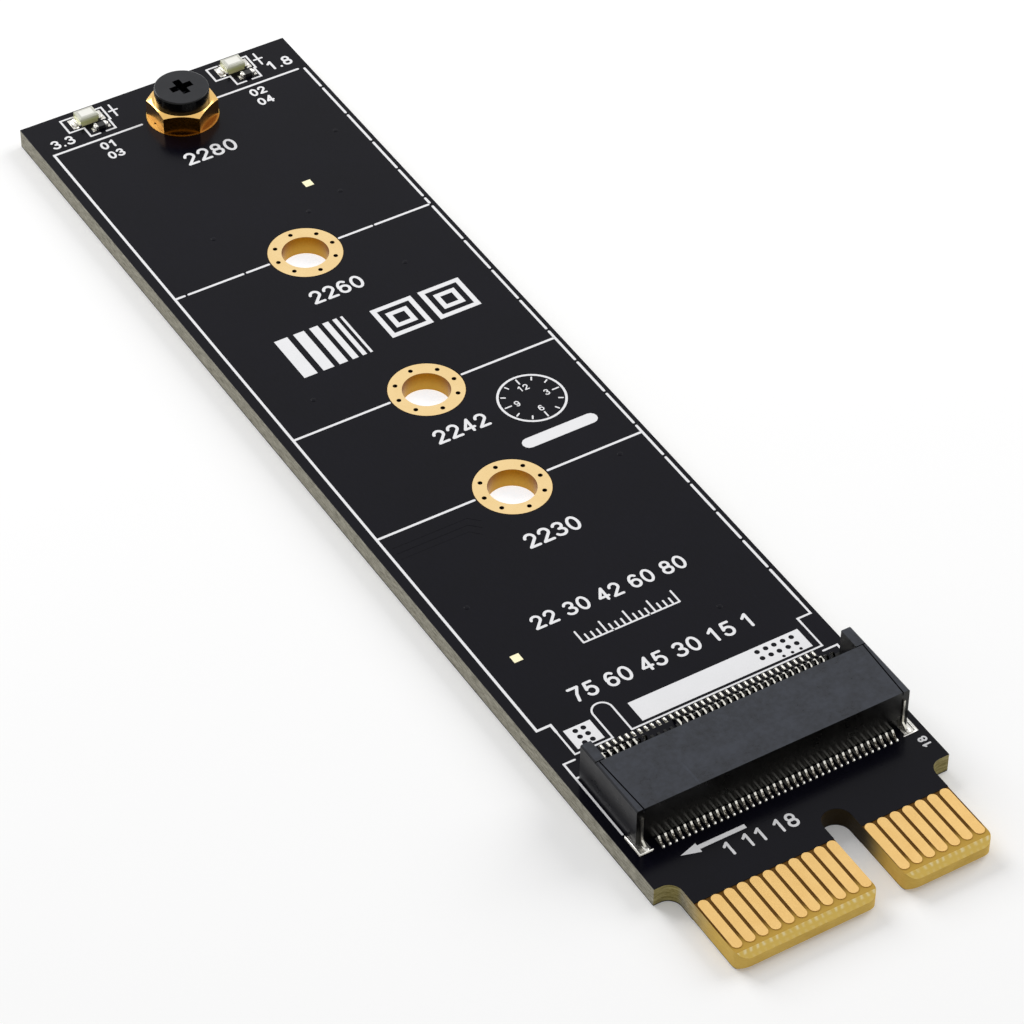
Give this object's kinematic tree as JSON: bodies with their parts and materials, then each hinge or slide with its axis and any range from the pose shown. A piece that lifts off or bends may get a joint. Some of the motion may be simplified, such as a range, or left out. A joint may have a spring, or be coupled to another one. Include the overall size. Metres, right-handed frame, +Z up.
{
  "type": "module adapter card",
  "caption": "Long narrow black circuit card with an M.2 module socket, a brass standoff at its far end and a one-lane card-edge tab.",
  "frame": {"origin": "middle of the card's outline, on its underside", "axes": "+X across the card, +Y along it away from the edge contacts, +Z up through its upper face"},
  "size_m": [0.0232, 0.099, 0.0048],
  "materials": {
    "laminate": "sawn glass-fibre laminate",
    "solder_mask": "satin black solder mask",
    "gold_plating": "thin gold plating",
    "tinned_pads": "tinned copper",
    "socket_plastic": "moulded black plastic",
    "spring_metal": "plated copper alloy",
    "tinned_steel": "tinned",
    "brass": "turned brass",
    "blackened_steel": "blackened steel",
    "lamp_base": "white laminate",
    "lamp_lens": "pale moulded lens",
    "resistor_body": "fired glaze"
  },
  "bodies": {
    "root": {"laminate": "laminate", "solder_mask_top": "solder_mask", "solder_mask_bottom": "solder_mask", "edge_contacts_top": "gold_plating", "edge_contacts_bottom": "gold_plating", "hole_plating_2230": "gold_plating", "hole_plating_2242": "gold_plating", "hole_plating_2260": "gold_plating", "hole_plating_2280": "gold_plating", "position_marks": "gold_plating", "component_pads": "gold_plating", "socket_pads": "tinned_pads", "socket_housing": "socket_plastic", "socket_contacts_upper": "spring_metal", "socket_contacts_lower": "spring_metal", "board_lock_left": "tinned_steel", "board_lock_right": "tinned_steel", "standoff": "brass", "module_screw": "blackened_steel", "lamp_left_base": "lamp_base", "lamp_right_base": "lamp_base", "lamp_left_lens": "lamp_lens", "lamp_right_lens": "lamp_lens", "lamp_left_terminals": "tinned_steel", "lamp_right_terminals": "tinned_steel", "resistor_left_body": "resistor_body", "resistor_right_body": "resistor_body", "resistor_left_terminals": "tinned_steel", "resistor_right_terminals": "tinned_steel"}
  },
  "joints": []
}
